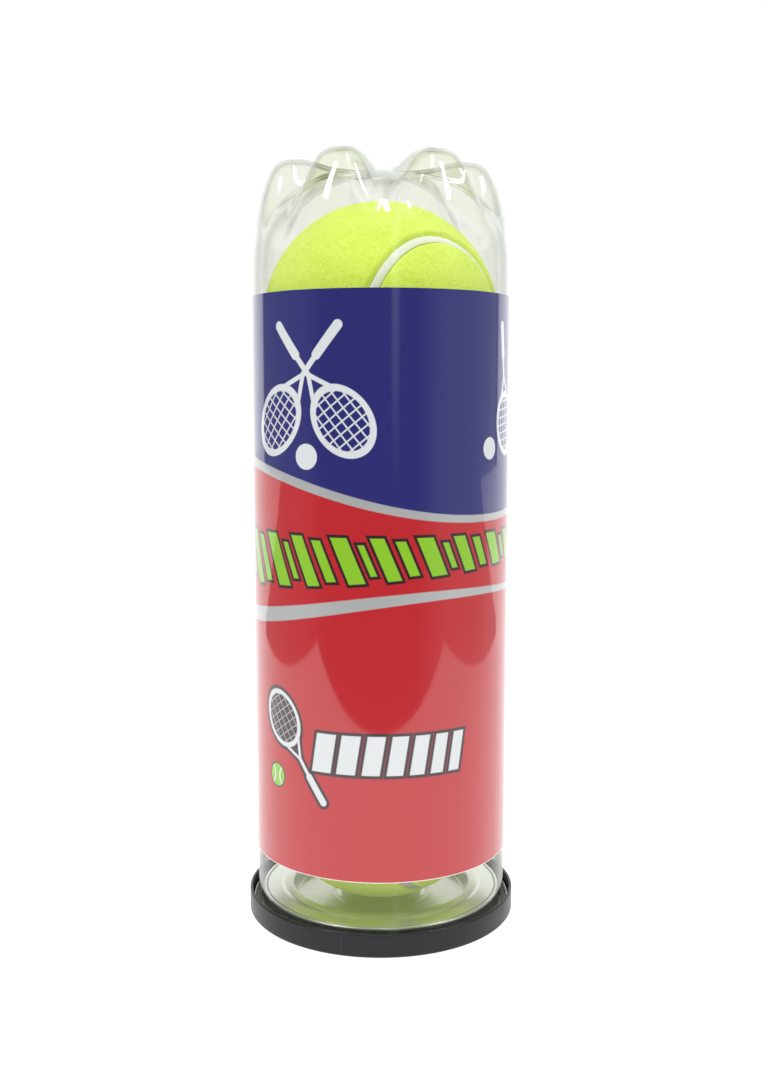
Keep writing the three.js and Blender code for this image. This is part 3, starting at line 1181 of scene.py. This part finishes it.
    def build(self) -> None:
        """Builds the ball's outside and dresses its core."""
        self.panels()
        self.seam()
        for letter in "ab":
            dress(f"{self.name}_core_half_{letter}", Finishes.CORE)


@dataclass
class Studio:
    """Floor, light and camera. Sizes in metres."""

    floor_near: float = -0.253
    floor_half: float = 0.375
    screen_near: float = 0.28
    screen_half: float = 1.9
    screen_far: float = 2.4
    eye: tuple[float, float, float] = (0.0009, -0.357, 0.1497)
    pitch: float = math.radians(6.4)
    lens: float = 42.25
    sensor: float = 36.0

    def floor(self) -> None:
        """A white table that ends a little in front of the can, and widens behind it."""
        right = [
            (self.floor_half, self.floor_near),
            (self.floor_half, self.screen_near),
            (self.screen_half, self.screen_near),
            (self.screen_half, self.screen_far),
        ]
        left = [(-x, y) for x, y in reversed(right)]
        corners = [(x, y, 0.0) for x, y in (*right, *left)]
        mesh = bpy.data.meshes.new("floor")
        mesh.from_pydata(corners, [], [(0, 1, 6, 7), (1, 2, 3, 4, 5, 6)])
        made = bpy.data.objects.new("floor", mesh)
        bpy.context.scene.collection.objects.link(made)
        white = bpy.data.materials.new("floor_white")
        white.use_nodes = True
        shader = Shader(white.node_tree)
        glow = shader.node("Emission", inputs={"Color": rgb(1, 1, 1), "Strength": 1.4}).outputs[0]
        paper = shader.node("BsdfDiffuse", inputs={"Color": rgb(0.85, 0.85, 0.85)}).outputs[0]
        shader.finish(shader.blend(0.35, glow, paper))
        mesh.materials.append(white)

    def world(self) -> None:
        """White to the eye, soft light to matt surfaces, and a screen in a dark room to glossy ones."""
        made = bpy.data.worlds.new("studio")
        made.use_nodes = True
        bpy.context.scene.world = made
        shader = Shader(made.node_tree)
        x, y, z = shader.split(shader.node("TexCoord").outputs["Generated"])
        screen = y.ramp(0.575, 0.625) * 1.35
        right = x.ramp(0.45, 0.95) * 0.4
        left = (-x).ramp(0.75, 1.0) * 0.2
        ceiling = z.ramp(0.45, 0.9) * 0.3
        window = (abs(x - 0.22) - 0.05).inside(0.06) * y.ramp(0.0, -0.5) * z.ramp(-0.1, 0.1) * 0.7
        room = (screen + (right + left + ceiling + window + 0.03) * (1.0 - y.ramp(0.5, 0.6)))
        soft = 0.7 + z.ramp(-0.2, 1.0) * 0.3
        path = shader.node("LightPath").outputs
        eye, gloss = Value(shader, path["Is Camera Ray"]), Value(shader, path["Is Glossy Ray"])
        unseen = room * gloss + soft * (1.0 - gloss)
        strength = eye * 1.05 + unseen * (1.0 - eye)
        lamp = shader.node("Background", inputs={"Color": rgb(1, 1, 1), "Strength": strength})
        shader.node("OutputWorld", inputs={"Surface": lamp.outputs[0]})

    def lamp(
        self, name: str, place: Sequence[float], aim: Sequence[float], size: tuple[float, float], power: float
    ) -> None:
        """Adds a soft lamp.

        Args:
            name: Its name.
            place: Where it is.
            aim: What it faces.
            size: Its width and height.
            power: Its power in watts.
        """
        data = bpy.data.lights.new(name, "AREA")
        data.shape, data.energy = "RECTANGLE", power
        data.size, data.size_y = size
        made = bpy.data.objects.new(name, data)
        made.location = place
        made.rotation_euler = (Vector(aim) - Vector(place)).to_track_quat("-Z", "Y").to_euler()
        bpy.context.scene.collection.objects.link(made)

    def camera(self) -> None:
        """The camera, a little above the can's middle and looking slightly down."""
        data = bpy.data.cameras.new("camera")
        data.lens, data.sensor_width = self.lens, self.sensor
        data.clip_start, data.clip_end = 0.01, 20
        made = bpy.data.objects.new("camera", data)
        made.location = self.eye
        made.rotation_euler = (math.pi / 2 - self.pitch, 0, 0)
        bpy.context.scene.collection.objects.link(made)
        bpy.context.scene.camera = made

    def build(self) -> None:
        """Sets the whole studio."""
        self.floor()
        self.world()
        self.lamp("key", (-0.55, -0.4, 0.8), (0, 0, 0.12), (0.04, 0.4), 4)
        self.lamp("fill", (0.6, -0.25, 0.75), (0, 0, 0.1), (0.04, 0.4), 3.2)
        self.lamp("top", (0.05, -0.3, 1.0), (0, 0, 0.2), (0.04, 0.3), 2)
        self.camera()
        bpy.context.scene.view_settings.view_transform = "Standard"
        bpy.context.scene.view_settings.look = "None"
        log.info("studio set")


def main() -> None:
    """Builds the can and its studio."""
    logging.basicConfig(level=logging.INFO, format="%(name)s: %(message)s")
    Studio().build()
    Overcap().build()
    MetalEnd().build()
    Tube().build()
    Wrap().build()
    turns = {
        "bottom_ball": (197.0, 198.0, 182.0),
        "middle_ball": (70.0, -20.0, 40.0),
        "top_ball": (195.0, 163.5, 258.0),
    }
    for number, (name, turn) in enumerate(turns.items()):
        Ball(name, turn, seed=number + 3).build()


if __name__ == "__main__":
    main()
